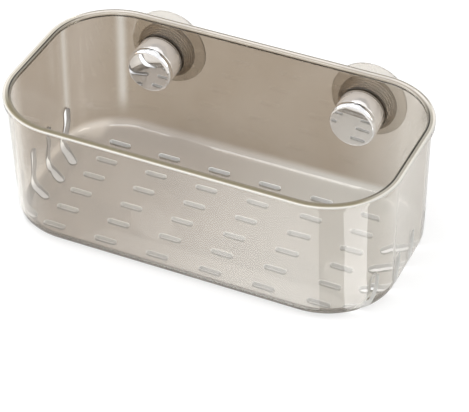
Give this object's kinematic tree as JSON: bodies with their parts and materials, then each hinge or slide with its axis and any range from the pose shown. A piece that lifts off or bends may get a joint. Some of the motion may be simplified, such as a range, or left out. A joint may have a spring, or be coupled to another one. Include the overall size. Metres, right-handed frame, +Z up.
{
  "type": "suction cup sink shelf",
  "caption": "Clear drained tub for sponges and brushes, held inside a sink by twist-lock suction cups on its back wall.",
  "frame": {"origin": "middle of the whole shelf's footprint, on the plane that the tub's base stands on", "axes": "+X along the tub to the right of someone facing it, +Y towards the wall that the cups grip, +Z up"},
  "size_m": [0.2396, 0.1398, 0.0848],
  "materials": {
    "tub": "clear, slightly smoky, polished",
    "soft_cup": "translucent, smooth",
    "clear_housing": "clear brown, polished",
    "clear_knob": "clear, polished",
    "seal": "matt",
    "brass": "turned",
    "chrome": "mirror",
    "steel": "turned stainless"
  },
  "bodies": {
    "tub": {"tub": "tub", "left_suction_cup": "soft_cup", "right_suction_cup": "soft_cup", "left_pressure_bell": "clear_housing", "right_pressure_bell": "clear_housing", "left_wall_gasket": "seal", "right_wall_gasket": "seal", "left_knob_washer": "seal", "right_knob_washer": "seal"},
    "left_knob": {"left_knob_barrel": "clear_knob", "left_thread_insert": "brass", "left_chrome_cap": "chrome"},
    "left_stud": {"left_draw_stud": "steel", "left_stop_washer": "steel", "left_stop_screw": "steel"},
    "right_knob": {"right_knob_barrel": "clear_knob", "right_thread_insert": "brass", "right_chrome_cap": "chrome"},
    "right_stud": {"right_draw_stud": "steel", "right_stop_washer": "steel", "right_stop_screw": "steel"}
  },
  "joints": [
    {"name": "left_knob_turn", "type": "hinge", "parent": "tub", "child": "left_knob", "pos_m": [-0.065, 0.05582, 0.059], "axis": [0, 1, 0], "range_deg": [0, 270]},
    {"name": "left_stud_draw", "type": "slide", "parent": "tub", "child": "left_stud", "axis": [0, -1, 0], "range_m": [0, 0.0024], "deforming": ["left_suction_cup"]},
    {"name": "right_knob_turn", "type": "hinge", "parent": "tub", "child": "right_knob", "pos_m": [0.065, 0.05582, 0.059], "axis": [0, 1, 0], "range_deg": [0, 270]},
    {"name": "right_stud_draw", "type": "slide", "parent": "tub", "child": "right_stud", "axis": [0, -1, 0], "range_m": [0, 0.0024], "deforming": ["right_suction_cup"]}
  ],
  "couplings": [
    {"joint": "left_stud_draw", "follows": "left_knob_turn", "m_per_rad": 0.00050929},
    {"joint": "right_stud_draw", "follows": "right_knob_turn", "m_per_rad": 0.00050929}
  ]
}
